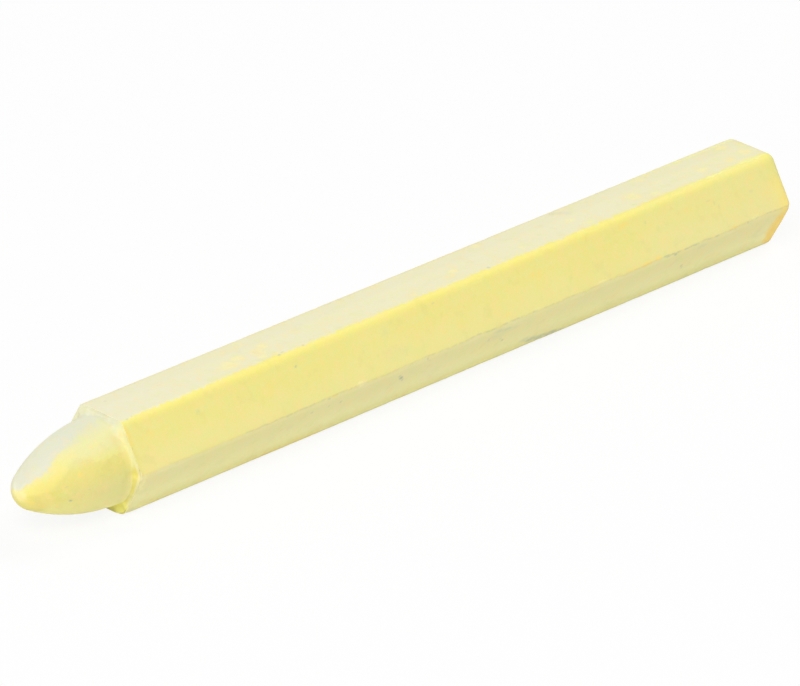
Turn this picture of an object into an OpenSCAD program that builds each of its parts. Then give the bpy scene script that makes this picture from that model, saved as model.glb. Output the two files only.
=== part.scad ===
// Hexagonal marking chalk, moulded in one piece: a six-sided body with rounded long edges,
// a bullet-shaped writing nose that stands on a flat shoulder, and a plain butt end with a
// rounded rim. It lies on one of its flats, with X along it, the tip towards -X and Z up.
// The origin is on the surface that it lies on, under the middle of its length. Millimetres.

/* [Body] */
// Length from the tip of the nose to the butt end
overall_len = 120; // [60:1:200]
// Width of the hexagonal body across its flats
across_flats = 12; // [9:0.5:20]
// Radius of the six long edges
edge_r = 1; // [0.4:0.1:2]

/* [Writing nose] */
// Length of the nose, from the shoulder to its tip
nose_len = 13; // [9:0.5:25]
// Width of the shoulder that is left beside the nose at the middle of each flat
shoulder_w = 0.6; // [0.5:0.1:1.2]
// Radius of the blunt tip
tip_r = 2.3; // [1:0.1:2.6]
// Radius of the hollow where the nose meets the shoulder
root_r = 0.4; // [0.2:0.1:0.5]

/* [Butt end] */
// Radius of the rim round the butt end
rim_r = 1.2; // [0.4:0.1:2]

/* [Hidden] */
$fn = 96;

chalk_color = [0.95, 0.90, 0.58];
sides = 6;
side_angle = 360 / sides;

// How far each rounding arc runs past the face that it blends into, so that the two cross
blend = 0.002;
// How far a cutting or sunk shape runs past the surface that it meets
margin = 1;

// Half the width across the flats, the body's length and the place of its shoulder
apothem = across_flats / 2;
body_len = overall_len - nose_len;
shoulder_x = nose_len - overall_len / 2;

// The centres of the long edges' arcs lie on the corners of a smaller hexagon
edge_centre = apothem - edge_r + blend;
edge_spacing = 2 * edge_centre * tan(side_angle / 2);

// The nose's outline is one long arc, upright at the shoulder, that runs into the tip's arc.
// Its centre lies in the shoulder's plane, on the far side of the stick's axis.
nose_r = apothem - shoulder_w;
tip_centre = nose_len - tip_r;
narrowing = nose_r - tip_r + blend;
flank_offset = (pow(tip_centre, 2) - pow(narrowing, 2)) / (2 * narrowing);
flank_r = nose_r + flank_offset;

// The hollow's arc bites a little into both the nose and the shoulder
root_height = root_r - blend;
root_ring_r = sqrt(pow(flank_r + root_height, 2) - pow(root_height, 2)) - flank_offset;

// Outline of the body: a hexagon that keeps its flats, and only the rounded part of its corners
module body_section() {
    intersection() {
        rotate(side_angle / 2) circle(r = apothem / cos(side_angle / 2), $fn = sides);
        for (k = [0 : sides - 1]) rotate(k * side_angle) {
            translate([0, -edge_spacing / 2]) square([apothem + margin, edge_spacing]);
            translate([edge_centre, edge_spacing / 2]) circle(r = edge_r);
        }
    }
}

// A slab between two opposite flats, wider than the body except where the rim's arcs close in
module rim_slab() {
    arc_x = apothem - rim_r + blend;
    arc_z = body_len - rim_r + blend;
    rotate([90, 0, 0]) linear_extrude(4 * apothem, center = true) {
        translate([-apothem - margin, -margin]) square([2 * (apothem + margin), arc_z + margin]);
        translate([-arc_x, 0]) square([2 * arc_x, body_len + margin]);
        for (side = [-1, 1]) translate([side * arc_x, arc_z]) circle(r = rim_r);
    }
}

// The body stands upright here, on its shoulder
module body() {
    intersection() {
        linear_extrude(body_len) body_section();
        intersection_for(k = [0 : sides / 2 - 1]) rotate(k * side_angle) rim_slab();
    }
}

// Half outline of the nose, with the axis at x = 0 and the shoulder at y = 0. The tip's circle
// takes over from the flank on the line that runs through the centres of both arcs.
module nose_outline() {
    reach = 2 * flank_r;
    handover = [reach, tip_centre + reach * tip_centre / flank_offset];
    intersection() {
        translate([-flank_offset, 0]) circle(r = flank_r);
        union() {
            polygon([[0, -margin], [reach, -margin], handover, [0, tip_centre]]);
            intersection() {
                translate([0, tip_centre]) circle(r = tip_r);
                translate([0, -margin]) square(reach);
            }
        }
    }
}

// Half outline of the foot of the nose, hollowed by the root's arc
module root_outline() {
    difference() {
        translate([0, -margin]) square([root_ring_r, margin + root_height]);
        translate([root_ring_r, root_height]) circle(r = root_r);
    }
}

// The nose stands upright here, sunk into the body by the margin
module nose() {
    rotate_extrude() {
        nose_outline();
        root_outline();
    }
}

// One moulded solid
module chalk_stick() {
    color(chalk_color) translate([shoulder_x, 0, apothem]) {
        rotate([0, 90, 0]) body();
        rotate([0, -90, 0]) nose();
    }
}

chalk_stick();
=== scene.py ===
"""The looks of a yellow hexagonal marking chalk: one moulded stick with a bullet nose, lying on a flat."""
from functools import reduce
from math import cos, pi, radians, sin, tan

import bpy
import numpy as np
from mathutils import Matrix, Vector


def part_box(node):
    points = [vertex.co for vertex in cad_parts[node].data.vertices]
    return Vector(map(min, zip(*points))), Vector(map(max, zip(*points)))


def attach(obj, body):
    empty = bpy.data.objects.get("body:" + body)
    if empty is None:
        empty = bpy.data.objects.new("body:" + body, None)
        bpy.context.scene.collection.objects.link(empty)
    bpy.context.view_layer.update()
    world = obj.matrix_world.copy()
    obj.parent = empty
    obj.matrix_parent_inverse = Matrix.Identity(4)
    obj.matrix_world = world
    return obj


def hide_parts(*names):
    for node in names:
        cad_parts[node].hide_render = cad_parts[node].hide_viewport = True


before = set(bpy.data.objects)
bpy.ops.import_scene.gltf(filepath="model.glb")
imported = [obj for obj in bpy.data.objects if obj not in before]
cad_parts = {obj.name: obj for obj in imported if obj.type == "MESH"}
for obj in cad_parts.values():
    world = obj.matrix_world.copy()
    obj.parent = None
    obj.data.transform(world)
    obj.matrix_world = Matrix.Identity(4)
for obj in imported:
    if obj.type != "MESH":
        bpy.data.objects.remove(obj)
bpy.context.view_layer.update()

MM = 0.001  # sizes below are in millimetres unless they say otherwise, and Blender's are in metres

# ------------------------------------------------------------------ the stick's shape
stick_low, stick_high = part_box("chalk_stick")
TIP_X = stick_low.x / MM
BUTT_X = stick_high.x / MM
APOTHEM = (stick_high.z - stick_low.z) / 2 / MM  # from the axis to a flat
AXIS_Z = (stick_high.z + stick_low.z) / 2 / MM

SIDES = 6
TURN = 2 * pi / SIDES
EDGE_R = 1.0  # rounding along the long edges
NOSE_LEN = 13.0
SHOULDER_W = 0.6  # the shoulder's width at the middle of a flat
TIP_R = 2.6
ROOT_R = 0.4  # hollow at the foot of the nose
WIDE_ROOT = 0.6  # how much wider the hollow is at the two upper corners
RIM_R = 1.2  # rounding round the butt
SHOULDER_X = TIP_X + NOSE_LEN
NOSE_R = APOTHEM - SHOULDER_W  # the hollow's inner radius
HOLLOW_R = NOSE_R + ROOT_R  # the hollow's outer radius, away from the upper corners
CORNER_REACH = 6.6  # from the axis to just inside a long edge
FLAT_W = 2 * (APOTHEM - EDGE_R) * tan(TURN / 2)  # the plane part of a flat
SIDE_W = FLAT_W + EDGE_R * TURN  # from one long edge to the next, along the surface

# Girth is the place round the stick, along the surface from the middle of the top flat, with the
# viewer's side positive. Rise is the height above the widest edges, along the surface in the same way.
WHOLE_ROUND = SIDES * SIDE_W
WIDEST_EDGE = 1.5 * SIDE_W  # girths of the long edges on the viewer's side, under the ridge
LOWEST_EDGE = 2.5 * SIDE_W
TOP_EDGE = SIDE_W  # rise of the ridges beside the top flat

# ------------------------------------------------------------------ how fine the mesh is
FLAT_STEPS = 28
ARC_STEPS = 12
COLUMNS = SIDES * (FLAT_STEPS + ARC_STEPS)
NOSE_STEP = 0.22  # between rings along the nose
HOLLOW_RINGS = 7
SHOULDER_RIM_RINGS = 4
BODY_STEP = 0.35  # between rings along the body
BUTT_RIM_RINGS = 8
BUTT_RINGS = 12

# ------------------------------------------------------------------ how deep the wear is
WORN_SHARE = 0.12  # rounding of the shoulder's rim, as a share of the shoulder's width there
WORN_RIM = (0.04, 0.10)  # the least and the most of that rounding
EDGE_WEAR = 0.03  # the most along the long edges
BUTT_RIM_WEAR = 0.04
WIDEST_CORNER_WEAR = 0.25  # the shoulder's corners on the viewer's side
LOWEST_CORNER_WEAR = 0.22
TIP_WEAR = 0.03
STEP_DEPTH = 0.035  # how far the surface steps in under the parting line
PARTING_UP = 0.2  # height of the parting line above the widest edges
CHIP_DEPTHS = (0.02, 0.09)  # the least and the most at a nick in a long edge
CHIP_GAP = 3.2  # mean distance from nick to nick, beyond the least of 0.5
PIT_DEPTH = 0.12  # under a speck of full strength
BODY_WAVES = [(0.006, 13, 41), (0.006, 4.1, 42)]  # unevenness, as (half depth, size, seed)
NOSE_WAVES = [(0.01, 3.4, 43), (0.006, 1.2, 44)]
BUTT_WAVES = [(0.03, 2.6, 45)]

# ------------------------------------------------------------------ marks seen on the stick
# Each mark is (x, girth, reach along, reach round, strength). The viewer's side has its long edges at
# girths 3.4, 10.2 and 17.
SPECKS = [  # dark dirt, in small pits
    (-55.1, 12.1, 0.30, 0.30, 0.75), (-44.7, -1.8, 0.25, 0.25, 0.20), (-46.85, 6.6, 0.16, 0.22, 0.35),
    (-45.9, 3.2, 0.22, 0.18, 0.30), (-45.1, 3.1, 0.20, 0.16, 0.25), (-22.1, 3.0, 0.32, 0.22, 0.42),
    (-21.4, 2.7, 0.35, 0.20, 0.25), (-18.4, 3.0, 0.30, 0.20, 0.38), (11.8, 2.8, 0.32, 0.25, 0.38),
    (36.7, 2.2, 0.25, 0.20, 0.15), (23.9, 3.1, 0.30, 0.16, 0.15), (1.6, 4.4, 0.28, 0.16, 0.22),
    (-20.7, 5.1, 0.24, 0.22, 0.50), (-36.3, 5.5, 0.35, 0.35, 0.12), (36.6, 5.2, 0.25, 0.22, 0.15),
    (47.1, 5.7, 0.50, 0.16, 0.16), (47.9, 6.2, 0.22, 0.40, 0.16), (48.4, 6.8, 0.20, 0.30, 0.12),
    (54.1, 6.6, 0.35, 0.25, 0.16), (-24.3, 10.1, 0.30, 0.20, 0.30), (-17.7, 10.1, 0.40, 0.20, 0.28),
    (-28.2, 10.0, 0.40, 0.14, 0.22), (-20.1, 11.3, 0.30, 0.26, 0.30), (-17.4, 11.4, 0.24, 0.36, 0.20),
    (-15.4, 11.6, 0.28, 0.32, 0.28), (-1.9, 10.3, 0.22, 0.26, 0.38), (-1.5, 10.7, 0.25, 0.20, 0.15),
    (-6.0, 11.4, 0.32, 0.36, 0.35), (-5.5, 12.0, 0.36, 0.38, 0.80), (-5.0, 12.6, 0.26, 0.32, 0.45),
    (8.6, 11.7, 0.30, 0.30, 0.22), (11.0, 12.6, 0.22, 0.26, 0.20), (11.5, 13.1, 0.26, 0.28, 0.42),
    (41.9, 13.3, 0.28, 0.40, 0.32), (42.2, 13.8, 0.24, 0.36, 0.22), (38.2, 10.1, 0.50, 0.18, 0.35),
    (39.5, 10.2, 0.35, 0.22, 0.50), (52.0, 10.0, 0.30, 0.20, 0.30), (48.9, 10.1, 0.70, 0.14, 0.20),
    (44.6, 9.9, 0.80, 0.14, 0.26), (-51.7, 7.7, 0.30, 0.16, 0.10), (-51.2, 8.6, 0.45, 0.16, 0.10),
    (-55.6, 8.7, 0.30, 0.20, 0.22), (-53.0, 10.3, 0.28, 0.22, 0.16),
]
SMEARS = [  # soft bluish grey streaks, as chains of marks
    (27.8, -2.6, 0.7, 0.45, 0.34), (28.6, -2.1, 0.6, 0.45, 0.30), (29.3, -1.6, 0.6, 0.45, 0.24),
    (16.3, 15.3, 0.9, 0.45, 0.40), (17.6, 15.8, 1.0, 0.45, 0.85), (19.3, 16.1, 1.3, 0.42, 1.00),
    (21.2, 16.3, 1.3, 0.40, 0.90), (22.7, 16.5, 0.9, 0.40, 0.50), (9.9, 10.6, 1.0, 0.30, 0.35),
    (11.2, 10.9, 1.0, 0.32, 0.40), (12.6, 11.3, 0.9, 0.36, 0.22), (9.6, 11.6, 1.6, 0.80, 0.16),
    (54.8, 12.8, 0.8, 0.90, 0.14), (55.7, 13.9, 0.7, 0.90, 0.12), (44.2, 10.6, 0.9, 0.35, 0.22),
    (-46.0, 16.3, 0.9, 0.50, 0.40), (-6.3, 8.2, 2.4, 1.0, 0.08), (-6.6, 5.4, 0.7, 1.0, 0.08),
]
YELLOWS = [  # the yellow showing through the powdery film and its painted sheen
    (-28.2, 1.1, 1.8, 1.2, 0.75), (-26.3, 0.4, 1.0, 0.8, 0.85), (-27.3, -1.8, 1.4, 0.9, 0.35),
    (-23.7, -2.2, 1.0, 1.0, 0.40), (-23.4, 0.8, 1.3, 1.0, 0.65), (-22.0, 0.0, 0.7, 0.7, 0.80),
    (-23.8, 1.9, 0.8, 0.8, 0.65), (-22.3, 2.6, 0.7, 0.5, 0.60), (-39.6, 0.9, 0.7, 0.4, 0.35),
    (8.0, 0.7, 0.9, 0.5, 1.00), (7.0, 1.4, 1.0, 0.5, 0.50), (0.2, 2.1, 0.8, 0.6, 0.55),
    (4.0, 2.6, 0.9, 0.5, 0.40), (-7.3, -2.0, 1.0, 1.2, 0.30), (14.8, -2.5, 0.7, 0.6, 0.65),
    (8.0, -3.2, 1.2, 0.5, 0.50), (18.7, 1.6, 0.8, 0.7, 0.50), (17.3, 2.6, 0.9, 0.4, 0.40),
    (14.2, 2.3, 0.6, 0.4, 0.40), (28.0, 0.2, 0.9, 0.8, 0.60), (29.2, 2.0, 1.3, 0.8, 0.50),
    (26.8, 2.9, 0.7, 0.4, 0.50), (38.3, 0.6, 1.2, 1.1, 0.75), (40.8, 1.8, 1.2, 0.7, 0.60),
    (42.2, -2.3, 1.2, 0.8, 0.55), (43.8, -2.6, 0.7, 0.5, 0.55), (43.3, -0.3, 0.6, 0.9, 0.35),
    (49.8, 0.9, 1.0, 0.6, 0.85), (49.1, -2.5, 0.7, 0.5, 0.55), (52.2, -3.0, 1.0, 0.5, 0.55),
    (56.2, -2.0, 1.1, 0.8, 0.75), (54.3, 1.2, 0.9, 0.9, 0.60), (57.3, 0.8, 1.1, 1.1, 0.70),
    (58.7, -1.1, 0.6, 0.7, 0.65), (56.0, 2.6, 1.8, 0.6, 0.85), (52.4, 2.9, 1.2, 0.4, 0.60),
    (-12.6, 9.9, 0.9, 0.4, 0.80), (27.0, 9.8, 1.4, 0.3, 0.50), (16.5, 9.9, 0.9, 0.3, 0.50),
    (53.4, 9.8, 0.9, 0.4, 0.70), (-46.6, 12.6, 0.7, 3.0, 0.60),
]
ORANGES = [  # orange tints
    (58.9, 13.6, 1.9, 3.8, 1.40), (59.2, 9.4, 1.2, 1.2, 0.45), (56.6, 7.6, 1.2, 0.6, 0.20),
    (-46.9, 5.2, 0.5, 2.0, 0.45), (-28.3, 1.4, 1.4, 0.8, 0.30), (-25.9, 0.7, 0.8, 0.8, 0.30),
    (-22.3, 2.6, 0.6, 0.4, 0.55), (-34.3, -2.3, 0.9, 0.7, 0.25), (7.0, 1.5, 1.0, 0.5, 0.50),
    (7.7, 2.3, 0.9, 0.6, 0.35), (-0.1, 2.2, 0.6, 0.4, 0.35), (11.0, -3.3, 0.7, 0.4, 0.50),
    (13.0, -2.8, 1.2, 0.5, 0.35), (31.2, 2.6, 1.4, 0.6, 0.30), (40.0, 2.7, 1.1, 0.5, 0.40),
    (42.2, -2.3, 1.1, 0.7, 0.30), (56.3, -1.9, 1.0, 0.7, 0.45), (54.3, 1.3, 0.8, 0.8, 0.35),
    (57.5, 0.7, 0.8, 0.9, 0.35), (33.0, 4.5, 1.2, 0.5, 0.50), (17.8, 6.0, 1.0, 0.6, 0.32),
    (11.3, 9.0, 1.0, 0.3, 0.35), (4.4, 7.9, 0.8, 0.8, 0.22), (1.3, 8.0, 0.9, 0.4, 0.22),
    (-44.0, 5.9, 1.1, 0.9, 0.22), (-25.4, 6.2, 1.0, 1.5, 0.18), (54.7, 5.1, 0.6, 0.6, 0.32),
    (27.0, 4.1, 0.8, 0.4, 0.28), (43.5, 5.4, 0.8, 1.0, 0.18), (32.0, 9.9, 1.3, 0.3, 0.35),
    (34.6, 9.9, 1.2, 0.3, 0.50), (36.6, 9.8, 0.7, 0.3, 0.75), (49.5, 9.9, 1.2, 0.3, 0.50),
    (-17.0, 10.0, 0.9, 0.3, 0.35), (-42.0, 16.7, 3.0, 0.6, 0.30), (-22.0, 16.6, 8.0, 0.6, 0.40),
    (-59.8, 12.1, 0.5, 1.4, 0.40), (-59.2, 12.6, 0.4, 1.0, 0.40), (-58.1, 13.4, 0.6, 1.0, 0.30),
    (-56.6, 13.5, 0.5, 0.6, 0.30), (-53.8, 7.2, 0.4, 1.0, 0.30), (-57.3, 8.4, 0.6, 0.6, 0.25),
    (-52.5, 6.0, 0.9, 0.7, 0.28), (-43.5, 4.2, 2.4, 0.5, 0.12), (14.0, 4.0, 4.0, 0.4, 0.10),
]
GREENS = [  # green tints
    (-56.0, 9.9, 0.9, 0.8, 0.45), (-55.0, 10.4, 0.5, 0.6, 0.40), (-56.5, 5.2, 0.6, 0.5, 0.35),
    (-50.2, 4.0, 0.9, 0.5, 0.35), (-51.4, 4.3, 0.9, 0.5, 0.35), (-59.5, 5.6, 0.3, 1.6, 0.40),
    (-36.3, 5.6, 0.7, 0.6, 0.25), (57.6, 5.0, 0.7, 0.6, 0.35), (51.7, 4.2, 0.7, 0.6, 0.30),
    (-5.6, 8.7, 2.4, 1.0, 0.22), (-7.6, 6.8, 1.6, 1.4, 0.14), (36.8, 2.2, 0.6, 0.4, 0.30),
    (53.4, 9.8, 0.8, 0.4, 0.45), (16.5, 9.9, 0.8, 0.3, 0.30), (59.0, 5.0, 0.5, 1.8, 0.40),
    (56.2, 2.7, 1.6, 0.5, 0.45), (52.5, 2.9, 1.2, 0.4, 0.40), (44.0, 3.0, 0.9, 0.4, 0.35),
    (58.7, -1.1, 0.6, 0.7, 0.45), (-46.2, 3.5, 0.9, 0.6, 0.35), (12.0, 3.9, 2.0, 0.4, 0.20),
    (-20.5, 4.1, 2.4, 0.4, 0.25), (46.0, 14.8, 5.0, 1.6, 0.12), (-36.0, 13.0, 6.0, 2.0, 0.10),
]
LIPS = [  # where the parting line's lip shows dark: (from x, to x, strength)
    (-31, -13, 0.22), (-3, 5, 0.22), (5, 16, 0.30), (17, 23, 0.18), (37, 47, 0.42), (51, 58, 0.25),
]


def smooth(value, start, end):
    """0 at start, 1 at end, an easy curve between, and level outside. End may be below start."""
    share = np.clip((value - start) / (end - start), 0, 1)
    return share * share * (3 - 2 * share)


# ------------------------------------------------------------------ the moulded surface
def hexagon(apothem):
    """Points (y, z) round a hexagon with rounded corners, from the top flat towards the viewer's side."""
    half = (apothem - EDGE_R) * tan(TURN / 2)
    centre = (apothem - EDGE_R) / cos(TURN / 2)
    points = []
    for side in range(SIDES):
        facing = side * TURN
        corner = facing + TURN / 2
        for along in np.linspace(-half, half, FLAT_STEPS, endpoint=False):
            points.append((-apothem * sin(facing) - along * cos(facing),
                           apothem * cos(facing) - along * sin(facing)))
        for angle in np.linspace(facing, facing + TURN, ARC_STEPS, endpoint=False):
            points.append((-centre * sin(corner) - EDGE_R * sin(angle),
                           centre * cos(corner) + EDGE_R * cos(angle)))
    return np.array(points)


def column_girth():
    """The girth of each column of points."""
    flat = np.linspace(-FLAT_W / 2, FLAT_W / 2, FLAT_STEPS, endpoint=False)
    arc = np.linspace(FLAT_W / 2, SIDE_W - FLAT_W / 2, ARC_STEPS, endpoint=False)
    one_side = np.concatenate([flat, arc])
    girth = np.concatenate([one_side + side * SIDE_W for side in range(SIDES)])
    return np.where(girth > WHOLE_ROUND / 2, girth - WHOLE_ROUND, girth)


def nose_profile():
    """Points (x, radius) of the nose: the tip's arc, then one long flank arc as far as the hollow."""
    tip_centre = NOSE_LEN - TIP_R
    narrowing = NOSE_R - TIP_R
    offset = (tip_centre ** 2 - narrowing ** 2) / (2 * narrowing)
    flank_r = NOSE_R + offset
    meet = np.arctan2(offset, -tip_centre)  # where the two arcs run into each other
    tip_steps = int(TIP_R * (pi - meet) / NOSE_STEP)
    flank_steps = int(flank_r * (meet - pi / 2) / NOSE_STEP)
    tip = [(TIP_X + TIP_R - TIP_R * cos(a), TIP_R * sin(a))
           for a in np.linspace(0, pi - meet, tip_steps + 1)[1:]]
    flank = [(SHOULDER_X + flank_r * cos(a), flank_r * sin(a) - offset)
             for a in np.linspace(meet, pi / 2, flank_steps + 1)[1:]]
    return [point for point in tip + flank if point[0] < SHOULDER_X - ROOT_R - WIDE_ROOT]


def ring(x, section):
    """One ring of points: x is one number, or one for each column."""
    return np.column_stack([np.broadcast_to(x, COLUMNS), section])


def shoulder_rings(reach, outward):
    """The hollow at the foot of the nose, wide at the upper corners, then the shoulder and its rim."""
    upper = smooth(np.abs(column_girth()), 5.6, 4.2)[:, None]  # 1 over the top and its two corners
    root = ROOT_R + WIDE_ROOT * upper * smooth(reach, APOTHEM, CORNER_REACH)
    foot_r = NOSE_R + root
    rings = []
    for a in np.linspace(0.15, pi / 2, HOLLOW_RINGS):
        x = SHOULDER_X - root[:, 0] * (1 - sin(a))
        rings.append(ring(x, outward * (foot_r - root * cos(a))))
    worn = np.clip((reach - HOLLOW_R) * WORN_SHARE, *WORN_RIM)
    for share in (0.5, 1.0):
        rings.append(ring(SHOULDER_X, outward * (foot_r + (reach - worn - foot_r) * share)))
    for a in np.linspace(0, pi / 2, SHOULDER_RIM_RINGS + 1)[1:]:
        x = SHOULDER_X + worn[:, 0] * (1 - cos(a))
        rings.append(ring(x, outward * (reach - worn * (1 - sin(a)))))
    return rings


def butt_rings():
    """The butt's rounded rim, and its flat in to near the middle."""
    rings = []
    for a in np.linspace(0, pi / 2, BUTT_RIM_RINGS + 1)[1:]:
        section = hexagon(APOTHEM - RIM_R * (1 - cos(a)))
        rings.append(ring(BUTT_X - RIM_R + RIM_R * sin(a), section))
    flat = hexagon(APOTHEM - RIM_R)
    for share in np.linspace(1, 0, BUTT_RINGS + 1)[1:-1]:
        rings.append(ring(BUTT_X, flat * share))
    return rings


def moulded_rings():
    """The stick's surface as rings of points, from beside the tip's pole to near the middle of the butt."""
    section = hexagon(APOTHEM)
    reach = np.hypot(*section.T)[:, None]
    outward = section / reach
    rings = [ring(x, outward * radius) for x, radius in nose_profile()]
    rings += shoulder_rings(reach, outward)
    body_start = SHOULDER_X + 0.3
    body_end = BUTT_X - RIM_R
    body_rings = int((body_end - body_start) / BODY_STEP) + 1
    rings += [ring(x, section) for x in np.linspace(body_start, body_end, body_rings)]
    return np.array(rings + butt_rings())


def ring_normals(rings):
    """Outward normals, from the directions along and round the stick at each point."""
    along = np.gradient(rings, axis=0)
    around = np.roll(rings, -1, axis=1) - np.roll(rings, 1, axis=1)
    normals = np.cross(around, along)
    return normals / np.maximum(np.linalg.norm(normals, axis=2, keepdims=True), 1e-9)


# ------------------------------------------------------------------ wear, as real depth in the mesh
def wave(points, size, seed):
    """Smooth noise from -1 to 1 at points, with features about size across."""
    cells = 32  # the pattern repeats after this many features
    table = np.random.default_rng(seed).uniform(-1, 1, (cells, cells, cells))
    cell = points / size
    base = np.floor(cell).astype(int)
    share = cell - base
    share = share * share * (3 - 2 * share)
    total = np.zeros(points.shape[:-1])
    for corner in np.ndindex(2, 2, 2):
        weight = np.prod(np.where(corner, share, 1 - share), axis=-1)
        index = (base + corner) % cells
        total += weight * table[index[..., 0], index[..., 1], index[..., 2]]
    return total


def unevenness(points, waves):
    """Depth of a surface that swells and sinks slowly: 0 at its highest."""
    return sum(depth * (1 + wave(points, size, seed)) for depth, size, seed in waves)


def gap_round(girth, place):
    """Distance round the stick from each column to a place, the short way."""
    return (girth - place + WHOLE_ROUND / 2) % WHOLE_ROUND - WHOLE_ROUND / 2


def blob(x, girth, place, reach):
    """1 at a place, falling in a straight line to 0 at reach (along, round) from it."""
    away = np.hypot((x - place[0]) / reach[0], gap_round(girth, place[1]) / reach[1])
    return np.clip(1 - away, 0, 1)


def scattered_marks(seed, count):
    """Marks in the form of SPECKS on the sides away from the viewer."""
    rng = np.random.default_rng(seed)
    x = rng.uniform(TIP_X + 4, BUTT_X - 1, count)
    girth = rng.uniform(-20, -3, count)
    reach = rng.uniform(0.2, 0.45, count)
    return list(zip(x, girth, reach, reach, rng.uniform(0.1, 0.6, count)))


ALL_SPECKS = SPECKS + scattered_marks(seed=61, count=60)


def edge_chips(points, girth, seed):
    """Nicks along the six long edges."""
    rng = np.random.default_rng(seed)
    x = points[..., 0]
    depth = np.zeros(x.shape)
    for side in range(SIDES):
        edge = (side + 0.5) * SIDE_W
        place = SHOULDER_X + rng.uniform(0, 3)
        while place < BUTT_X - RIM_R:
            reach = (rng.uniform(0.3, 1.1), rng.uniform(0.25, 0.5))
            chip = blob(x, girth, (place, edge + rng.uniform(-0.3, 0.3)), reach)
            depth = np.maximum(depth, rng.uniform(*CHIP_DEPTHS) * smooth(chip, 0, 0.7))
            place += rng.exponential(CHIP_GAP) + 0.5
    return depth


def below_parting(points, girth):
    """How far each point lies under the mould's parting line, which wavers above the two widest edges."""
    waver = 0.1 * wave(points, 0.9, 21) + 0.1 * wave(points, 3.1, 22)
    return np.abs(girth) - WIDEST_EDGE + PARTING_UP + waver


def parting_step(points, girth):
    """Just under the parting line the surface steps in a little, and comes out again further down."""
    body = smooth(points[..., 0], SHOULDER_X - 0.5, SHOULDER_X + 2)
    below = below_parting(points, girth)
    depth = STEP_DEPTH + 0.02 * wave(points, 5.3, 23)
    return body * depth * smooth(below, -0.04, 0.08) * smooth(below, 1.9, 0.2)


def worn_edges(points, girth):
    """Uneven wear of the long edges and the butt's rim, and two corners of the shoulder rubbed away."""
    x = points[..., 0]
    from_edge = np.abs((girth % SIDE_W) - SIDE_W / 2)
    long_edge = smooth(from_edge, 0.75, 0.1)
    butt_rim = smooth(x, BUTT_X - 2, BUTT_X - 0.4) * smooth(x, BUTT_X + 0.1, BUTT_X - 0.3)
    uneven = np.clip(0.5 + 0.5 * wave(points, 4.3, 31) + 0.3 * wave(points, 1.3, 32), 0, 1)
    widest = smooth(blob(x, girth, (SHOULDER_X, WIDEST_EDGE), (1.2, 1.6)), 0, 1)
    lowest = smooth(blob(x, girth, (SHOULDER_X, LOWEST_EDGE), (1.0, 1.3)), 0, 1)
    corners = WIDEST_CORNER_WEAR * widest + LOWEST_CORNER_WEAR * lowest
    return (EDGE_WEAR * long_edge + BUTT_RIM_WEAR * butt_rim) * uneven + corners


def relief(points, girth):
    """How far the worn surface lies inside the moulded one. It never stands proud of it."""
    x = points[..., 0]
    nose = smooth(x, SHOULDER_X, SHOULDER_X - 1)
    butt = smooth(x, BUTT_X - 0.3, BUTT_X - 0.05)
    depth = unevenness(points, BODY_WAVES)
    depth += nose * unevenness(points, NOSE_WAVES) + butt * unevenness(points, BUTT_WAVES)
    depth += worn_edges(points, girth) + parting_step(points, girth)
    depth = np.maximum(depth, edge_chips(points, girth, seed=51))
    for along, place, reach_along, reach_round, strength in ALL_SPECKS:
        pit = blob(x, girth, (along, place), (reach_along * 1.3, reach_round * 1.3))
        depth += PIT_DEPTH * strength * smooth(pit, 0, 0.8)
    return depth


# ------------------------------------------------------------------ the mesh, with numbers for the material
def patches(points, girth, marks):
    """Soft patches: the strength of the strongest one at each point, fading away from its middle."""
    strongest = np.zeros(girth.shape)
    for along, place, reach_along, reach_round, strength in marks:
        near = blob(points[..., 0], girth, (along, place), (reach_along * 1.35, reach_round * 1.35))
        strongest = np.maximum(strongest, strength * smooth(near, 0, 0.75))
    return strongest


def lip_strength(points):
    """How dark the parting line's lip is along the stick: most of it is hardly seen."""
    x = points[..., 0]
    dark = 0.12 * smooth(x, -33, -30)
    for start, end, strength in LIPS:
        within = smooth(x, start - 0.7, start + 0.7) * smooth(x, end + 0.7, end - 0.7)
        dark = np.maximum(dark, strength * within)
    return dark


def surface_marks(points, girth):
    """Numbers for the material at each point, with their values at the two poles."""
    return {
        "along": (points[..., 0], [TIP_X, BUTT_X]),
        "reach": (np.hypot(points[..., 1], points[..., 2]), [0.0, 0.0]),
        "rise": (WIDEST_EDGE - np.abs(girth), [4.0, 0.0]),
        "girth": (girth, [0.0, 0.0]),
        "below": (below_parting(points, girth), [0.0, 0.0]),
        "lip": (lip_strength(points), [0.0, 0.0]),
        "smear": (patches(points, girth, SMEARS), [0.0, 0.0]),
        "yellow": (patches(points, girth, YELLOWS), [0.0, 0.0]),
        "orange": (patches(points, girth, ORANGES), [0.4, 0.0]),
        "green": (patches(points, girth, GREENS), [0.0, 0.0]),
    }


def stick_faces(count):
    """Faces over count rings, facing outward, with a fan at each pole. The poles are the last points."""
    faces = []
    for start in range(0, (count - 1) * COLUMNS, COLUMNS):
        for i in range(COLUMNS):
            j = (i + 1) % COLUMNS
            faces.append((start + i, start + j, start + COLUMNS + j, start + COLUMNS + i))
    last = (count - 1) * COLUMNS
    tip, butt = count * COLUMNS, count * COLUMNS + 1
    for i in range(COLUMNS):
        j = (i + 1) % COLUMNS
        faces.append((tip, j, i))
        faces.append((butt, last + i, last + j))
    return faces


def add_number(mesh, name, values):
    """Stores one number at each point of the mesh, for the material to read."""
    attribute = mesh.attributes.new(name, "FLOAT", "POINT")
    attribute.data.foreach_set("value", np.asarray(values, np.float32))


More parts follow.
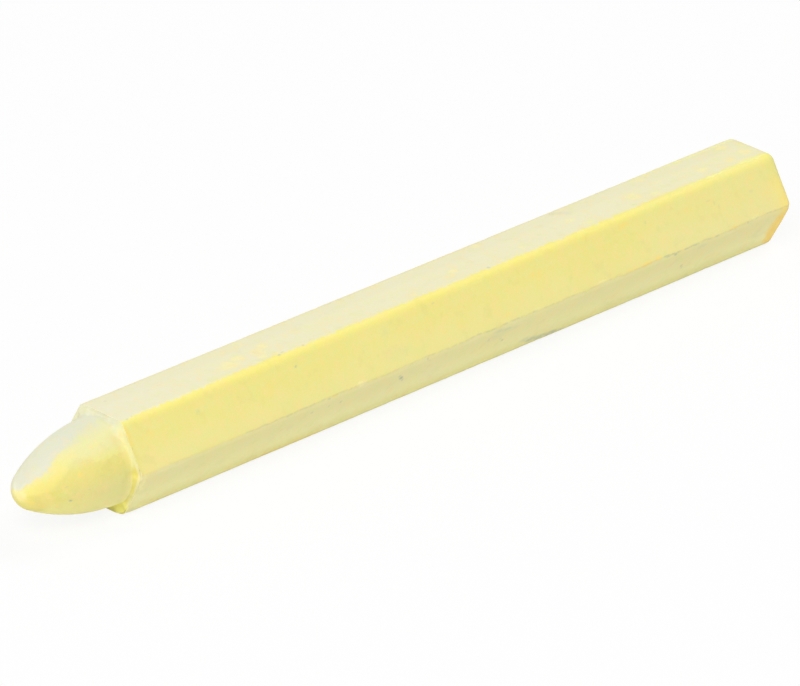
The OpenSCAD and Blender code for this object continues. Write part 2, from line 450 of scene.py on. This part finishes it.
def build_stick():
    """The stick's mesh, with its wear as real depth and its marks as numbers at the points."""
    rings = moulded_rings()
    girth = np.broadcast_to(column_girth(), rings.shape[:2])
    shaped = rings - ring_normals(rings) * relief(rings, girth)[..., None]
    poles = [[TIP_X + TIP_WEAR, 0, 0], [shaped[-1, :, 0].mean(), 0, 0]]
    points = np.vstack([shaped.reshape(-1, 3), poles]) + (0, 0, AXIS_Z)
    mesh = bpy.data.meshes.new("chalk")
    mesh.from_pydata((points * MM).tolist(), [], stick_faces(len(rings)))
    mesh.polygons.foreach_set("use_smooth", [True] * len(mesh.polygons))
    for name, (values, at_poles) in surface_marks(rings, girth).items():
        add_number(mesh, name, np.append(values.ravel(), at_poles))
    mesh.update()
    stick = bpy.data.objects.new("chalk", mesh)
    bpy.context.scene.collection.objects.link(stick)
    return stick


# ------------------------------------------------------------------ shader nodes
class Graph:
    """Short ways to add and join shader nodes. A value is a number, a colour or another node's output."""

    def __init__(self, tree):
        self.tree = tree
        tree.nodes.clear()

    def add(self, kind, values=(), **settings):
        """A new node of a kind, with its input sockets set or linked, and its settings."""
        node = self.tree.nodes.new("ShaderNode" + kind)
        for name, setting in settings.items():
            setattr(node, name, setting)
        for socket, value in dict(values).items():
            if isinstance(value, bpy.types.NodeSocket):
                self.tree.links.new(value, node.inputs[socket])
            else:
                node.inputs[socket].default_value = value
        return node

    def math(self, operation, a, b=0.0):
        return self.add("Math", {0: a, 1: b}, operation=operation).outputs[0]

    def plus(self, *values):
        return reduce(lambda a, b: self.math("ADD", a, b), values)

    def minus(self, a, b):
        return self.math("SUBTRACT", a, b)

    def times(self, *values):
        return reduce(lambda a, b: self.math("MULTIPLY", a, b), values)

    def most(self, *values):
        return reduce(lambda a, b: self.math("MAXIMUM", a, b), values)

    def vector(self, operation, *values, output=0):
        """The result of a vector operation on up to three vectors."""
        return self.add("VectorMath", dict(enumerate(values)), operation=operation).outputs[output]

    def between(self, share, a, b):
        """The number a where share is 0 and b where it is 1."""
        return self.add("Mix", {0: share, 2: a, 3: b}).outputs[0]

    def blend(self, share, a, b):
        """The colour a where share is 0 and b where it is 1."""
        return self.add("Mix", {0: share, 6: a, 7: b}, data_type="RGBA").outputs[2]

    def line(self, value, start, end, low=0.0, high=1.0, shape="LINEAR"):
        """low at start and high at end, in a straight line between, and level outside them."""
        values = {"Value": value, "From Min": start, "From Max": end, "To Min": low, "To Max": high}
        return self.add("MapRange", values, interpolation_type=shape).outputs[0]

    def ease(self, value, start, end, low=0.0, high=1.0):
        """The same on an easy curve."""
        return self.line(value, start, end, low, high, "SMOOTHSTEP")

    def band(self, value, middle, half, soft):
        """1 within half of middle, falling to 0 over soft."""
        away = self.math("ABSOLUTE", self.minus(value, middle))
        return self.ease(away, half + soft, half)

    def noise(self, place, size, detail, shift):
        """Noise from 0 to 1 with features about size mm across. The shift sets two noises apart."""
        values = {"Vector": place, "Location": (shift,) * 3, "Scale": (1 / size,) * 3}
        moved = self.add("Mapping", values).outputs[0]
        values = {"Vector": moved, "Scale": 1.0, "Detail": detail, "Roughness": 0.55}
        return self.add("TexNoise", values).outputs["Fac"]

    def centred(self, noise, amount):
        """A noise as a signed number, up to about half of amount either way."""
        return self.add("Math", {0: noise, 1: amount, 2: -amount / 2}, operation="MULTIPLY_ADD").outputs[0]

    def number(self, name):
        """A number stored at the mesh's points."""
        return self.add("Attribute", attribute_name=name).outputs["Fac"]


# ------------------------------------------------------------------ the chalk's colours, and those for painted light and shade
PLAIN_YELLOW = (0.80, 0.71, 0.19, 1)
RUBBED_YELLOW = (0.91, 0.81, 0.19, 1)
BROW_YELLOW = (0.87, 0.765, 0.19, 1)  # the nose's brow, near the tip, under painted light
NOSE_YELLOW = (0.86, 0.80, 0.20, 1)  # the same nearer the foot of the nose
TIP_YELLOW = (0.88, 0.75, 0.15, 1)  # low on the tip
PALE_TIP = (0.98, 0.90, 0.45, 1)
CLEAR_YELLOW = (0.98, 0.90, 0.42, 1)  # patches showing through the film
# painted light underneath, against the shade near the floor
UNDER_PAINTED_LIGHT = (1.0, 0.95, 0.34, 1)
# also painted shade, in the hollow at the nose's foot and below its brow
DEEP_YELLOW = (0.79, 0.69, 0.12, 1)
LIT_YELLOW = (0.82, 0.78, 0.33, 1)  # the rubbed shoulder
CREST_YELLOW = (0.92, 0.90, 0.44, 1)  # below its upper corner
CORNER_YELLOW = (0.91, 0.825, 0.34, 1)  # its widest corner
FACET_PAINTED_LIGHT = (1.0, 0.94, 0.24, 1)  # painted light on its lowest corner
HOLLOW_YELLOW = (0.80, 0.75, 0.27, 1)  # painted shade on its inner edge, in the hollow
PALE_HOLLOW = (0.78, 0.80, 0.36, 1)  # the wide hollow at its upper corner
FOOT_PAINTED_LIGHT = (1.0, 0.95, 0.38, 1)  # painted light at the foot of the nose
LIME = (0.93, 0.93, 0.34, 1)
GOLD = (1.0, 0.80, 0.19, 1)
ORANGE = (1.0, 0.705, 0.135, 1)
WARM = (0.95, 0.73, 0.27, 1)
GREEN = (0.76, 0.80, 0.26, 1)
OLIVE = (0.52, 0.50, 0.16, 1)
BLOOM_AND_SHEEN = (0.82, 0.82, 0.74, 1)  # the powdery film on the body, paler with painted sheen of the white surroundings
# the same on the nose; paler on its far side, with more painted light
NOSE_BLOOM_AND_SHEEN = (0.695, 0.72, 0.68, 1)
FAR_NOSE_BLOOM_AND_SHEEN = (0.825, 0.87, 0.78, 1)
SHADE = (0.1, 0.08, 0.02, 1)
GREY = (0.44, 0.47, 0.36, 1)
BLUE_GREY = (0.46, 0.53, 0.50, 1)
WHITE = (1, 1, 1, 1)


class Surface:
    """Where a point is on the stick, and the noises and masks that the colours share.

    The functions below ease from one place to another, both in mm on the stick, and between the two
    levels that a mask or a film has there. x is -60 at the tip, -47 at the shoulder and 60 at the butt.
    Rise is 10.2 in the middle of the top, 6.8 at its ridges, 0 at the widest edges, -6.8 at the lowest
    ones and -10.2 in the middle underneath. Reach is the distance from the axis.
    """

    def __init__(self, g):
        self.g = g
        local = g.add("TexCoord").outputs["Object"]
        self.place = g.vector("MULTIPLY", local, (1 / MM,) * 3)
        parts = g.add("SeparateXYZ", {0: self.place}).outputs
        self.x = parts[0]
        self.y = parts[1]
        self.height = g.plus(parts[2], -AXIS_Z)
        self.along = g.number("along")  # x before the wear, and so is reach
        self.reach = g.number("reach")
        self.rise = g.number("rise")
        self.girth = g.number("girth")

        self.cloudy = g.noise(self.place, size=7.0, detail=2.0, shift=3.1)
        self.patchy = g.noise(self.place, size=2.2, detail=2.0, shift=11.7)
        self.broken = g.noise(self.place, size=0.6, detail=2.0, shift=23.9)
        self.grain = g.noise(self.place, size=0.16, detail=1.0, shift=37.3)

        self.far = g.ease(self.y, 0.0, 2.0)  # the side away from the viewer
        self.near = g.ease(self.far, 1.0, 0.0)
        self.nose = g.ease(self.along, SHOULDER_X - 0.1, SHOULDER_X - 0.3)
        behind_nose = g.ease(self.along, SHOULDER_X - 0.3, SHOULDER_X - 0.1)
        self.shoulder = g.times(behind_nose, g.ease(self.along, SHOULDER_X + 0.08, SHOULDER_X + 0.01))
        self.body = g.ease(self.along, SHOULDER_X + 0.01, SHOULDER_X + 0.08)
        self.butt = g.ease(self.along, BUTT_X - 0.9, BUTT_X - 0.3)
        end_face = g.times(g.ease(self.along, BUTT_X - 0.5, BUTT_X - 0.1), g.ease(self.reach, 5.6, 4.4))
        self.sides = g.minus(1.0, end_face)  # all but the butt's flat
        self.in_border = self.inside_border()

    def inside_border(self):
        """How far a point lies inside the ragged border of the heavy film and its painted sheen on top."""
        g = self.g
        slant = g.plus(g.ease(self.x, -38, -30, TOP_EDGE - 0.12, TOP_EDGE + 0.08),
                       g.ease(self.x, 25, 56, 0.0, 0.36))
        ragged = g.plus(g.centred(self.broken, 0.9), g.centred(self.patchy, 0.5))
        return g.plus(g.minus(self.rise, slant), ragged)


# ------------------------------------------------------------------ Bloom and painted sheen: a powdery film, paler also for the sheen of the white surroundings: 0 none, 1 full
def top_bloom_and_sheen(s):
    """The heavy film on the top flat, with painted sheen, a little thinner towards the butt."""
    g = s.g
    level = g.plus(g.ease(s.x, -42, -30, 0.66, 0.60),
                   g.ease(s.x, 30, 58, 0.0, -0.05),
                   g.ease(s.rise, 7.6, 8.6, 0.0, 0.03))
    return g.plus(level, g.centred(s.patchy, 0.2), g.centred(s.broken, 0.2))


def side_bloom_and_sheen(s):
    """The thin film and painted sheen on the flat between the ridge and the widest edge, on the viewer's
    side.
    """
    g = s.g
    below_ridge = g.ease(s.rise, TOP_EDGE - 0.1, TOP_EDGE - 1.2, 0.01, 0.075)
    level = g.plus(below_ridge, g.ease(s.rise, 5.0, 0.5, 0.0, 0.075), g.ease(s.x, 33, 42, 0.0, 0.06))
    rubbed_butt = g.times(g.ease(s.x, 56.0, 58.5, 0.0, -0.07), g.ease(s.rise, 3.0, 5.0))
    return g.plus(level, rubbed_butt, g.centred(s.cloudy, 0.1), g.centred(s.patchy, 0.1))


def body_bloom_and_sheen(s):
    """Bloom and painted sheen on the six flats: heavy on top, thin beside it, and light under the parting
    line.
    """
    g = s.g
    on_top = top_bloom_and_sheen(s)
    near_side = g.between(g.ease(s.in_border, 0.12, 0.62), side_bloom_and_sheen(s), on_top)
    far_flat = g.plus(g.ease(s.rise, 0.0, TOP_EDGE, 0.2, 0.45), g.centred(s.patchy, 0.2))
    far_side = g.between(g.ease(s.rise, TOP_EDGE, TOP_EDGE + 0.8), far_flat, on_top)
    above = g.between(s.far, near_side, far_side)
    below = g.plus(g.ease(s.rise, -4.5, -6.5, 0.32, 0.16),
                   g.centred(s.patchy, 0.16), g.centred(s.cloudy, 0.1))
    return g.between(g.ease(g.number("below"), -0.03, 0.05), above, below)


def above_brow(s):
    """1 above a ragged line along the viewer's side of the nose, and on all of the far side."""
    g = s.g
    line = g.plus(g.ease(s.x, -57.6, -55.0, 6.0, 8.1), g.ease(s.x, -55.0, -49.0, 0.0, 1.2))
    ragged = g.plus(g.centred(s.patchy, 1.3), g.centred(s.broken, 2.2))
    over = g.minus(g.plus(s.rise, ragged), line)
    over = g.between(s.far, over, 5.0)
    soft = g.ease(s.x, -54.0, -49.0, 0.4, 2.4)
    crisp = g.ease(over, g.times(soft, -1), soft)
    faint = g.ease(over, -2.6, 1.0)
    return g.plus(g.times(crisp, 0.6), g.times(faint, 0.4))


def over_tip(s):
    """1 above the axis, and on the viewer's side above a line a little higher. The border is cloudy."""
    g = s.g
    line = g.most(g.plus(g.times(s.y, -0.35), 0.58), 0.0)
    cloudy = g.times(g.centred(s.cloudy, 2.4), g.ease(s.y, 1.0, 3.0))
    over = g.plus(g.minus(s.height, line), g.centred(s.patchy, 0.5), cloudy)
    soft = g.ease(s.y, 0.5, 3.0, 0.25, 0.9)
    return g.ease(over, g.times(soft, -1), soft)


def nose_bloom_and_sheen(s):
    """Bloom and painted sheen on the nose: heavy along its top and over the upper half of its far side,
    thin elsewhere.
    """
    g = s.g
    heavy = g.times(above_brow(s), over_tip(s))
    upper = g.times(g.ease(s.x, -57.8, -51.0, 0.05, 0.33), g.ease(s.rise, 2.8, 5.8))
    lower = g.times(g.ease(s.x, -58.0, -49.0, 0.04, 0.16), g.ease(s.rise, 3.0, -1.0))
    return g.between(heavy, g.plus(upper, lower), 0.78)


def shoulder_bloom_and_sheen(s):
    """Bloom and painted sheen on the shoulder: heavier towards the top and on the far side."""
    g = s.g
    outer = g.ease(s.reach, HOLLOW_R, HOLLOW_R + 0.5, 0.0, 0.2)
    widest_corner = g.times(g.band(s.rise, -0.5, 1.8, 1.2), outer)
    by_rise = g.plus(g.ease(s.rise, 0.0, 6.0, 0.16, 0.2), g.ease(s.rise, 6.4, 8.0, 0.0, 0.42))
    near_side = g.plus(by_rise, widest_corner)
    return g.between(s.far, g.plus(near_side, g.centred(s.patchy, 0.2)), 0.6)


def whole_bloom_and_sheen(s):
    """Bloom and painted sheen on every part of the stick."""
    g = s.g
    bloom_and_sheen = g.between(s.nose, body_bloom_and_sheen(s), nose_bloom_and_sheen(s))
    bloom_and_sheen = g.between(s.shoulder, bloom_and_sheen, shoulder_bloom_and_sheen(s))
    return g.between(s.butt, bloom_and_sheen, g.ease(s.patchy, 0.35, 0.75, 0.08, 0.3))


# ------------------------------------------------------------------ the chalk itself, with painted light and shade, under its powdery film
def brow_painted_light(s):
    """Painted light on the brow of the nose: a bright band with a crisp lower border, and wider towards the
    tip.
    """
    g = s.g
    low = g.plus(g.line(s.x, -59.6, -56.2, -0.7, 2.8),
                 g.line(s.x, -56.2, -54.0, 0.0, 2.6),
                 g.line(s.x, -53.4, -51.5, 0.0, -1.7))
    over = g.plus(g.minus(s.rise, low), g.centred(s.patchy, 1.4), g.centred(s.broken, 1.6))
    over = g.math("DIVIDE", over, g.ease(s.x, -53.5, -51.0, 1.1, 0.35))
    strength = g.plus(g.ease(s.x, -56.5, -52.0, 1.0, 0.8), g.centred(s.patchy, 0.4))
    tip = g.ease(s.x, -57.6, -59.0, 0.0, 0.5)
    return g.most(g.times(g.ease(over, -0.7, 0.8), strength), tip)


def rubbed_and_painted_light_chalk(s):
    """The plain yellow, brighter where it is rubbed along the near ridge, and with painted light on the
    brow and the tip.
    """
    g = s.g
    ridge = g.times(g.ease(s.rise, TOP_EDGE - 1.1, TOP_EDGE - 0.3), s.near, s.sides)
    # painted light on the nose's brow and tip; on the body, rubbing along the near ridge
    rub_and_painted_light = g.between(s.nose, g.plus(g.times(ridge, 0.5), 0.5), brow_painted_light(s))
    rub_and_painted_light = g.plus(rub_and_painted_light, g.centred(s.cloudy, 0.2))
    on_nose = g.blend(g.ease(s.x, -56.5, -53.5), BROW_YELLOW, NOSE_YELLOW)
    low_tip = g.times(g.ease(s.x, -56.8, -58.2), g.ease(s.rise, 2.0, 0.0))
    on_nose = g.blend(low_tip, on_nose, TIP_YELLOW)
    return g.blend(rub_and_painted_light, PLAIN_YELLOW, g.blend(s.nose, RUBBED_YELLOW, on_nose))


def underneath(s):
    """Painted light that makes the colour paler underneath, against the shade near the floor."""
    g = s.g
    body = g.plus(g.ease(s.rise, 0.2, -0.3, 0.0, 0.08),
                  g.ease(s.rise, -1.0, -5.3, 0.0, 0.84),
                  g.ease(s.rise, -5.0, -6.4, 0.0, 0.08))
    nose = g.times(g.ease(s.rise, -0.8, -4.5, 0.0, 0.5), g.ease(s.x, -58.4, -56.8))
    foot = g.times(g.ease(s.rise, -3.8, -5.4, 0.0, 0.45), g.ease(s.x, -52.0, -49.0))
    return g.times(g.between(s.nose, body, g.plus(nose, foot)), s.sides)


def shoulder_yellow(s):
    """The rubbed shoulder: palest at its upper corner, warmer round the widest one, and with painted shade
    further in.
    """
    g = s.g
    colour = g.blend(g.band(s.girth, 2.9, 1.3, 1.0), LIT_YELLOW, CREST_YELLOW)
    widest = g.times(g.band(s.rise, -0.6, 1.9, 0.9), g.ease(s.reach, HOLLOW_R - 0.15, HOLLOW_R + 0.05))
    colour = g.blend(widest, colour, CORNER_YELLOW)
    # painted shade towards the hollow, on the viewer's side
    inner = g.times(g.ease(s.reach, HOLLOW_R + 0.05, HOLLOW_R - 0.2), g.ease(s.girth, 4.6, 5.8))
    return g.blend(inner, colour, HOLLOW_YELLOW)


def base_colour(s):
    """The chalk's own yellow, with the parts of the nose and the shoulder that differ from the rest, and
    painted light and shade on the nose, at its foot and underneath.
    """
    g = s.g
    colour = rubbed_and_painted_light_chalk(s)
    # painted shade: deeper yellow on the nose's side below the brow's painted light, near the tip
    painted_shade_below_brow = g.times(g.ease(s.rise, 2.0, 0.5), g.ease(s.rise, -4.0, -1.5))
    painted_shade_below_brow = g.times(painted_shade_below_brow, g.ease(s.x, -54.5, -57.5, 0.0, 0.6))
    colour = g.blend(painted_shade_below_brow, colour, DEEP_YELLOW)
    # painted light underneath, on the lower nose and the low part of its foot
    colour = g.blend(underneath(s), colour, UNDER_PAINTED_LIGHT)
    # painted light at the foot of the nose, against the hollow's shade
    near_foot = g.ease(s.x, SHOULDER_X - 1.3, SHOULDER_X - 0.5)
    foot = g.times(s.nose, near_foot, g.ease(s.rise, 1.5, 4.5, 0.2, 0.5))
    colour = g.blend(foot, colour, FOOT_PAINTED_LIGHT)
    colour = g.blend(s.shoulder, colour, shoulder_yellow(s))
    wide_hollow = g.times(g.ease(s.reach, NOSE_R + 0.02, NOSE_R + 0.2),
                          g.ease(s.reach, HOLLOW_R + 0.5, HOLLOW_R + 0.1))
    upper_corner = g.band(s.girth, 3.6, 1.2, 1.0)
    colour = g.blend(g.times(upper_corner, wide_hollow, 0.7), colour, PALE_HOLLOW)
    pale_tip = g.times(g.ease(s.x, -59.4, -59.85, 0.0, 0.6), g.ease(s.height, -1.0, 0.0))
    colour = g.blend(pale_tip, colour, PALE_TIP)
    behind_shoulder = g.times(g.ease(s.x, SHOULDER_X + 0.75, SHOULDER_X + 0.1), s.body)
    rim = g.times(behind_shoulder, g.band(s.rise, 3.0, 2.6, 0.8))
    return g.blend(g.times(rim, 0.45), colour, DEEP_YELLOW)


# ------------------------------------------------------------------ tints, patches, the film, painted light and shade at the nose's foot, dirt and the darker lip
def tinted(s, colour, bloom_and_sheen):
    """A slow drift to orange, green and olive, weaker where the powdery film and its painted sheen are
    heavy.
    """
    g = s.g
    clear = g.times(g.minus(1.0, g.times(bloom_and_sheen, 0.5)), g.between(s.nose, 1.0, 1.2))
    tint = g.noise(s.place, size=1.4, detail=3.0, shift=51.3)
    drift = g.noise(s.place, size=3.6, detail=2.0, shift=71.7)
    dull = g.noise(s.place, size=1.7, detail=2.0, shift=67.9)
    colour = g.blend(g.times(g.ease(tint, 0.48, 0.72, 0.0, 0.30), clear), colour, WARM)
    colour = g.blend(g.times(g.ease(tint, 0.5, 0.28, 0.0, 0.32), clear), colour, GREEN)
    colour = g.blend(g.times(g.ease(drift, 0.5, 0.7, 0.0, 0.16), clear), colour, WARM)
    return g.blend(g.times(g.ease(dull, 0.55, 0.75, 0.0, 0.10), clear), colour, OLIVE)


def ragged_patch(s, name, start, full):
    """A patch whose soft edge is broken up, as a powdery film flakes."""
    g = s.g
    patch = g.number(name)
    near = g.ease(patch, 0.0, 0.3)
    broken = g.times(g.plus(g.centred(s.broken, 1.5), g.centred(s.grain, 0.4)), near)
    return g.ease(g.plus(patch, broken), start, full)


def patched(s, colour):
    """The lime border of the film and its painted sheen near the butt, then the orange, gold and green
    patches.
    """
    g = s.g
    border = g.times(g.band(s.in_border, 0.1, 0.08, 0.18), s.body, s.sides, g.ease(s.x, 38, 50))
    colour = g.blend(g.times(border, g.ease(s.patchy, 0.3, 0.6, 0.2, 0.7)), colour, LIME)
    off_top = g.ease(s.rise, TOP_EDGE - 0.4, TOP_EDGE + 0.4, 0.9, 0.28)
    off_shoulder = g.between(s.shoulder, 1.0, 0.3)
    orange = g.times(ragged_patch(s, "orange", -0.1, 1.2), off_top, off_shoulder, s.sides)
    colour = g.blend(orange, colour, ORANGE)
    near_butt = g.ease(g.plus(s.x, g.centred(s.patchy, 1.5)), 56.0, 59.6)
    gold = g.times(near_butt, g.band(s.rise, 1.6, 1.5, 1.8), s.sides)
    colour = g.blend(g.times(gold, 0.6), colour, GOLD)
    green = g.times(ragged_patch(s, "green", 0.0, 1.1), s.sides)
    return g.blend(g.times(green, 0.7), colour, GREEN)


def filmed(s, colour, bloom_and_sheen):
    """The colour under its powdery film and painted sheen, with the yellow showing through in patches, and
    all its tints.
    """
    g = s.g
    showing = ragged_patch(s, "yellow", 0.05, 0.95)
    colour = g.blend(g.times(showing, s.sides, 0.7), colour, CLEAR_YELLOW)
    bloom_and_sheen = g.times(bloom_and_sheen, g.line(showing, 0.0, 1.0, 1.0, 0.45))
    nose_film_and_sheen = g.blend(g.ease(s.girth, 1.5, -4.0), NOSE_BLOOM_AND_SHEEN, FAR_NOSE_BLOOM_AND_SHEEN)
    colour = g.blend(bloom_and_sheen, colour, g.blend(s.body, nose_film_and_sheen, BLOOM_AND_SHEEN))
    return patched(s, tinted(s, colour, bloom_and_sheen))


def foot_of_nose(s, colour):
    """The low part of the nose's foot: painted shade as deep yellow in the hollow, and painted shade and
    painted light on the shoulder.
    """
    g = s.g
    paler = g.times(g.band(s.rise, -3.7, 0.3, 1.0), 0.4)
    lower = g.times(g.ease(s.rise, 2.2, 0.2), g.minus(1.0, paler))
    ragged = g.plus(s.reach, g.centred(s.broken, 0.2))
    in_hollow = g.times(g.ease(s.reach, NOSE_R + 0.02, NOSE_R + 0.1),
                        g.ease(ragged, HOLLOW_R + 0.15, HOLLOW_R - 0.15))
    off_body = g.ease(s.along, SHOULDER_X + 0.1, SHOULDER_X + 0.05, 0.0, 0.85)
    # painted shade: deep yellow in the lower part of the hollow
    colour = g.blend(g.times(lower, in_hollow, off_body), colour, DEEP_YELLOW)
    shaded = g.times(s.shoulder, g.ease(s.rise, -0.2, -1.0), g.ease(s.rise, -5.0, -3.6))
    colour = g.blend(g.times(shaded, 0.15), colour, SHADE)
    # painted light on the shoulder's lowest corner, against the nose's shadow and the floor's shade
    painted_light_corner = g.times(s.shoulder, g.ease(s.rise, -4.6, -5.8, 0.0, 0.85))
    return g.blend(painted_light_corner, colour, FACET_PAINTED_LIGHT)


def speck_darkness(s):
    """How dark each speck of dirt makes the surface, with noise to bend its outline."""
    g = s.g
    bend = 0.3
    wobble = g.add("TexNoise", {"Vector": s.place, "Scale": 2.2, "Detail": 1.0}).outputs["Color"]
    unrolled = g.add("CombineXYZ", {0: s.x, 1: s.girth}).outputs[0]
    bent = g.vector("MULTIPLY_ADD", wobble, (bend, bend, 0), unrolled)
    dark = 0.0
    for x, girth, along, around, strength in ALL_SPECKS:
        shift = (-(x + bend / 2) / along, -(girth + bend / 2) / around, 0)
        away = g.vector("MULTIPLY_ADD", bent, (1 / along, 1 / around, 0), shift)
        away = g.vector("LENGTH", away, output="Value")
        dark = g.most(dark, g.ease(away, 1.1, 0.3, 0.0, strength))
    off_seam = g.ease(s.rise, -9.8, -9.2)  # underneath, girth jumps from one end of its range to the other
    return g.times(dark, off_seam)


def dark_lip_and_dirt(s, colour):
    """The parting line's lip, darker in places, and dirt: specks and smears."""
    g = s.g
    on_lip = g.times(g.band(g.number("below"), -0.06, 0.05, 0.12), g.ease(s.broken, 0.35, 0.6))
    lip = g.times(on_lip, g.number("lip"), s.body)
    colour = g.blend(g.most(speck_darkness(s), lip), colour, GREY)
    smear = g.times(g.number("smear"), g.ease(s.broken, 0.3, 0.6, 0.6, 1.0))
    return g.blend(g.times(smear, 0.7), colour, BLUE_GREY)


def chalk_material():
    """Matt chalk: its colours, with painted light and shade, under a powdery film with painted sheen, and a
    grain in the colour, gloss and relief.
    """
    material = bpy.data.materials.new("chalk")
    material.use_nodes = True
    g = Graph(material.node_tree)
    s = Surface(g)

    bloom_and_sheen = whole_bloom_and_sheen(s)
    colour = filmed(s, base_colour(s), bloom_and_sheen)
    colour = dark_lip_and_dirt(s, foot_of_nose(s, colour))
    colour = g.blend(g.ease(s.grain, 0.35, 0.7, 0.0, 0.05), colour, WHITE)

    rough = g.plus(g.ease(bloom_and_sheen, 0.0, 1.0, 0.6, 0.72), g.centred(s.grain, 0.08))
    height = g.plus(g.times(s.grain, 0.35), g.times(s.broken, 0.65))
    bump = g.add("Bump", {"Strength": 0.6, "Distance": 0.03 * MM, "Height": height}).outputs[0]
    values = {"Base Color": colour, "Roughness": rough, "IOR": 1.5, "Normal": bump}
    surface = g.add("BsdfPrincipled", values)
    g.add("OutputMaterial", {"Surface": surface.outputs[0]})
    return material


# ------------------------------------------------------------------ stage, where lengths are in metres
FLOOR_HALF = 3.0
PAPER = (0.93, 0.93, 0.93, 1)
OWN_WHITE = 0.88  # share of the floor's seen colour that is plain white; the rest shows the shadow
WORLD_LIGHT = 0.33
LAMP_SIZE = 0.9
LAMP_DISTANCE = 1.5
LAMPS = [  # name, azimuth and elevation in degrees, watts
    ("key", -54, 48, 12.05),
    ("side", 90, 50, 7.0),
    ("back", -120, 40, 2.2),
    ("low", -65, 6, 2.95),
]
SENSOR_WIDTH = 36  # this and the focal length are in millimetres
FOCAL_LENGTH = 361
CAMERA_AZIMUTH = -43.86
CAMERA_ELEVATION = 25.7
CAMERA_DISTANCE = 0.942
LOOKED_AT = Vector((-0.23, -0.29, 5.235)) * MM


def seen_directly(g):
    """1 for what the camera sees, straight or in a reflection or through glass, and 0 for lighting."""
    path = g.add("LightPath").outputs
    return g.most(path["Is Camera Ray"], path["Is Glossy Ray"], path["Is Transmission Ray"])


def floor_material():
    """White paper, most of whose seen colour is its own white, so that only a soft shadow shows."""
    material = bpy.data.materials.new("floor")
    material.use_nodes = True
    g = Graph(material.node_tree)
    paper = g.add("BsdfDiffuse", {"Color": PAPER})
    white = g.add("Emission", {"Color": WHITE, "Strength": 1.0})
    share = g.times(seen_directly(g), OWN_WHITE)
    mixed = g.add("MixShader", {0: share, 1: paper.outputs[0], 2: white.outputs[0]})
    g.add("OutputMaterial", {"Surface": mixed.outputs[0]})
    return material


def build_floor():
    """A wide flat floor, which isn't part of the object."""
    half = FLOOR_HALF
    corners = [(-half, -half, 0), (half, -half, 0), (half, half, 0), (-half, half, 0)]
    mesh = bpy.data.meshes.new("floor")
    mesh.from_pydata(corners, [], [(0, 1, 2, 3)])
    mesh.materials.append(floor_material())
    floor = bpy.data.objects.new("floor", mesh)
    bpy.context.scene.collection.objects.link(floor)


def build_world():
    """A weak white light from all round, seen as full white."""
    world = bpy.data.worlds.new("world")
    world.use_nodes = True
    bpy.context.scene.world = world
    g = Graph(world.node_tree)
    strength = g.line(seen_directly(g), 0.0, 1.0, WORLD_LIGHT, 1.0)
    background = g.add("Background", {"Color": WHITE, "Strength": strength})
    g.add("OutputWorld", {"Surface": background.outputs[0]})


def direction(azimuth, elevation):
    """Unit vector from the stick, from degrees: azimuth 0 is the -Y side, and -90 the nose's end."""
    a, e = radians(azimuth), radians(elevation)
    return Vector((sin(a) * cos(e), -cos(a) * cos(e), sin(e)))


def face_from(thing, azimuth, elevation, distance, centre=Vector((0, 0, 0))):
    """Puts a lamp or camera in the scene, at a distance from centre and looking at it."""
    back = direction(azimuth, elevation)
    thing.location = centre + back * distance
    thing.rotation_mode = "QUATERNION"
    thing.rotation_quaternion = back.to_track_quat("Z", "Y")
    bpy.context.scene.collection.objects.link(thing)


def build_lamps():
    """Large soft lamps that the camera doesn't see."""
    for name, azimuth, elevation, watts in LAMPS:
        data = bpy.data.lights.new(name, "AREA")
        data.shape = "DISK"
        data.size = LAMP_SIZE
        data.energy = watts
        lamp = bpy.data.objects.new(name, data)
        lamp.visible_camera = False
        face_from(lamp, azimuth, elevation, LAMP_DISTANCE)


def build_camera():
    """A long lens, looking down along the stick from beside its nose."""
    data = bpy.data.cameras.new("camera")
    data.sensor_width = SENSOR_WIDTH
    data.lens = FOCAL_LENGTH
    data.clip_start = 0.05
    data.clip_end = 20
    camera = bpy.data.objects.new("camera", data)
    face_from(camera, CAMERA_AZIMUTH, CAMERA_ELEVATION, CAMERA_DISTANCE, LOOKED_AT)
    bpy.context.scene.camera = camera


chalk = build_stick()
chalk.data.materials.append(chalk_material())
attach(chalk, "root")
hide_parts("chalk_stick")

build_floor()
build_world()
build_lamps()
build_camera()
bpy.context.scene.view_settings.view_transform = "Standard"
